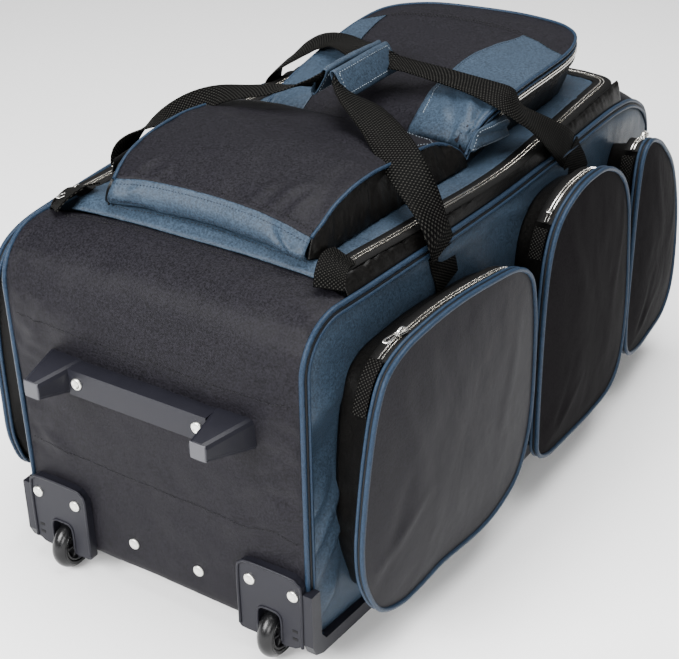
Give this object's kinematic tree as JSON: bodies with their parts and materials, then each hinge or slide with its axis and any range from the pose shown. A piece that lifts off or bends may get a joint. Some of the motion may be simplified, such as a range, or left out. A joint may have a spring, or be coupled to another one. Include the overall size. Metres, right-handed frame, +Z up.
{
  "type": "equipment bag",
  "caption": "Long wheeled duffel for ice hockey gear: zipped lid with two top pockets, outside pockets on both sides, carry straps, moulded stand bar and corner wheels.",
  "frame": {"origin": "middle of the whole bag's outline, on the floor that its two wheels and two skid feet stand on", "axes": "+Z up; +Y from the end with the wheels and the stand bar to the far end; +X to the side with three pockets"},
  "size_m": [0.572, 0.9958, 0.5627],
  "materials": {
    "black_fabric": "coated polyester twill, satin",
    "blue_fabric": "coated polyester twill, satin",
    "black_webbing": "ribbed polypropylene webbing, matt",
    "grey_plastic": "fine moulded texture",
    "board": "sheet board",
    "wheel_rubber": "smooth, satin",
    "wheel_hub": "moulded, satin",
    "steel": "plated, bright"
  },
  "bodies": {
    "bag_body": {"bottom_panel": "black_fabric", "base_board": "board", "wheel_end_panel": "black_fabric", "far_end_panel": "black_fabric", "side_panel_right": "blue_fabric", "lid_edge_strip_right": "black_fabric", "wheel_housing_right": "grey_plastic", "wheel_axle_right": "steel", "base_rail_right": "grey_plastic", "skid_foot_right": "grey_plastic", "stand_bar_rivet_right": "steel", "housing_rivet_outer_right": "steel", "housing_rivet_inner_right": "steel", "panel_rivet_right": "steel", "strap_foot_near_right": "black_webbing", "strap_foot_far_right": "black_webbing", "side_panel_left": "blue_fabric", "lid_edge_strip_left": "black_fabric", "wheel_housing_left": "grey_plastic", "wheel_axle_left": "steel", "base_rail_left": "grey_plastic", "skid_foot_left": "grey_plastic", "stand_bar_rivet_left": "steel", "housing_rivet_outer_left": "steel", "housing_rivet_inner_left": "steel", "panel_rivet_left": "steel", "strap_foot_near_left": "black_webbing", "strap_foot_far_left": "black_webbing", "side_pocket_wheel_end": "black_fabric", "side_pocket_middle": "black_fabric", "side_pocket_far": "black_fabric", "side_pocket_left_long": "black_fabric", "stand_bar": "grey_plastic", "tow_handle": "black_webbing"},
    "lid": {"lid_panel": "blue_fabric", "top_pocket_near": "black_fabric", "top_pocket_far": "black_fabric"},
    "wheel_right": {"wheel_tyre_right": "wheel_rubber", "wheel_hub_right": "wheel_hub"},
    "wheel_left": {"wheel_tyre_left": "wheel_rubber", "wheel_hub_left": "wheel_hub"},
    "carry_loop_right": {"carry_strap_right": "black_webbing", "grip_wrap_right": "blue_fabric"},
    "carry_loop_left": {"carry_strap_left": "black_webbing", "grip_wrap_left": "blue_fabric"},
    "side_zip_wheel_end_slider": {"side_zip_wheel_end_slider": "steel"},
    "side_zip_wheel_end_pull": {"side_zip_wheel_end_pull": "steel"},
    "side_zip_middle_slider": {"side_zip_middle_slider": "steel"},
    "side_zip_middle_pull": {"side_zip_middle_pull": "steel"},
    "side_zip_far_slider": {"side_zip_far_slider": "steel"},
    "side_zip_far_pull": {"side_zip_far_pull": "steel"},
    "side_zip_left_slider": {"side_zip_left_slider": "steel"},
    "side_zip_left_pull": {"side_zip_left_pull": "steel"},
    "top_zip_near_slider": {"top_zip_near_slider": "steel"},
    "top_zip_near_pull": {"top_zip_near_pull": "steel"},
    "top_zip_far_slider": {"top_zip_far_slider": "steel"},
    "top_zip_far_pull": {"top_zip_far_pull": "steel"},
    "main_zip_slider": {"main_zip_slider": "steel"},
    "main_zip_pull": {"main_zip_pull": "steel"}
  },
  "joints": [
    {"name": "lid_hinge", "type": "hinge", "parent": "bag_body", "child": "lid", "pos_m": [0, -0.3499, 0.462], "axis": [1, 0, 0], "range_deg": [0, 90], "deforming": ["carry_strap_right", "grip_wrap_right", "carry_strap_left", "grip_wrap_left"]},
    {"name": "wheel_spin_right", "type": "hinge", "parent": "bag_body", "child": "wheel_right", "pos_m": [0.154, -0.4259, 0.0335], "axis": [1, 0, 0], "continuous": true},
    {"name": "wheel_spin_left", "type": "hinge", "parent": "bag_body", "child": "wheel_left", "pos_m": [-0.154, -0.4259, 0.0335], "axis": [1, 0, 0], "continuous": true},
    {"name": "carry_loop_swing_right", "type": "hinge", "parent": "bag_body", "child": "carry_loop_right", "pos_m": [0.224, -0.0079, 0.432], "axis": [0, 1, 0], "range_deg": [0, 115]},
    {"name": "carry_loop_swing_left", "type": "hinge", "parent": "bag_body", "child": "carry_loop_left", "pos_m": [-0.224, -0.0079, 0.432], "axis": [0, -1, 0], "range_deg": [0, 115]},
    {"name": "side_zip_wheel_end_slide", "type": "slide", "parent": "bag_body", "child": "side_zip_wheel_end_slider", "axis": [0.064, 0.998, 0], "range_m": [0, 0.1879]},
    {"name": "side_zip_wheel_end_pull_flip", "type": "hinge", "parent": "side_zip_wheel_end_slider", "child": "side_zip_wheel_end_pull", "pos_m": [0.25156, -0.32858, 0.4018], "axis": [-0.998, 0.064, 0], "range_deg": [0, 90]},
    {"name": "side_zip_middle_slide", "type": "slide", "parent": "bag_body", "child": "side_zip_middle_slider", "axis": [-0.0067, 1, 0], "range_m": [0, 0.1065]},
    {"name": "side_zip_middle_pull_flip", "type": "hinge", "parent": "side_zip_middle_slider", "child": "side_zip_middle_pull", "pos_m": [0.26797, 0.0154, 0.4148], "axis": [-1, -0.0067, 0], "range_deg": [0, 90]},
    {"name": "side_zip_far_slide", "type": "slide", "parent": "bag_body", "child": "side_zip_far_slider", "axis": [-0.089, 0.996, 0], "range_m": [0, 0.0196]},
    {"name": "side_zip_far_pull_flip", "type": "hinge", "parent": "side_zip_far_slider", "child": "side_zip_far_pull", "pos_m": [0.26044, 0.30143, 0.4018], "axis": [-0.996, -0.089, 0], "range_deg": [0, 90]},
    {"name": "side_zip_left_slide", "type": "slide", "parent": "bag_body", "child": "side_zip_left_slider", "axis": [-0.064, 0.998, 0], "range_m": [0, 0.245]},
    {"name": "side_zip_left_pull_flip", "type": "hinge", "parent": "side_zip_left_slider", "child": "side_zip_left_pull", "pos_m": [-0.25188, -0.32358, 0.4018], "axis": [-0.998, -0.064, 0], "range_deg": [0, 90]},
    {"name": "top_zip_near_slide", "type": "slide", "parent": "lid", "child": "top_zip_near_slider", "axis": [0, -1, 0], "range_m": [0, 0.1945]},
    {"name": "top_zip_near_pull_flip", "type": "hinge", "parent": "top_zip_near_slider", "child": "top_zip_near_pull", "pos_m": [-0.1368, -0.0982, 0.475], "axis": [0, 0, 1], "range_deg": [0, 90]},
    {"name": "top_zip_far_slide", "type": "slide", "parent": "lid", "child": "top_zip_far_slider", "axis": [1, 0, 0], "range_m": [0, 0.2085]},
    {"name": "top_zip_far_pull_flip", "type": "hinge", "parent": "top_zip_far_slider", "child": "top_zip_far_pull", "pos_m": [-0.0877, 0.3059, 0.495], "axis": [0, 0, -1], "range_deg": [0, 90]},
    {"name": "main_zip_slide", "type": "slide", "parent": "bag_body", "child": "main_zip_slider", "axis": [0, 1, 0], "range_m": [0, 0.64]},
    {"name": "main_zip_pull_flip", "type": "hinge", "parent": "main_zip_slider", "child": "main_zip_pull", "pos_m": [-0.1805, -0.3336, 0.4648], "axis": [-1, 0, 0], "range_deg": [0, 90]}
  ]
}
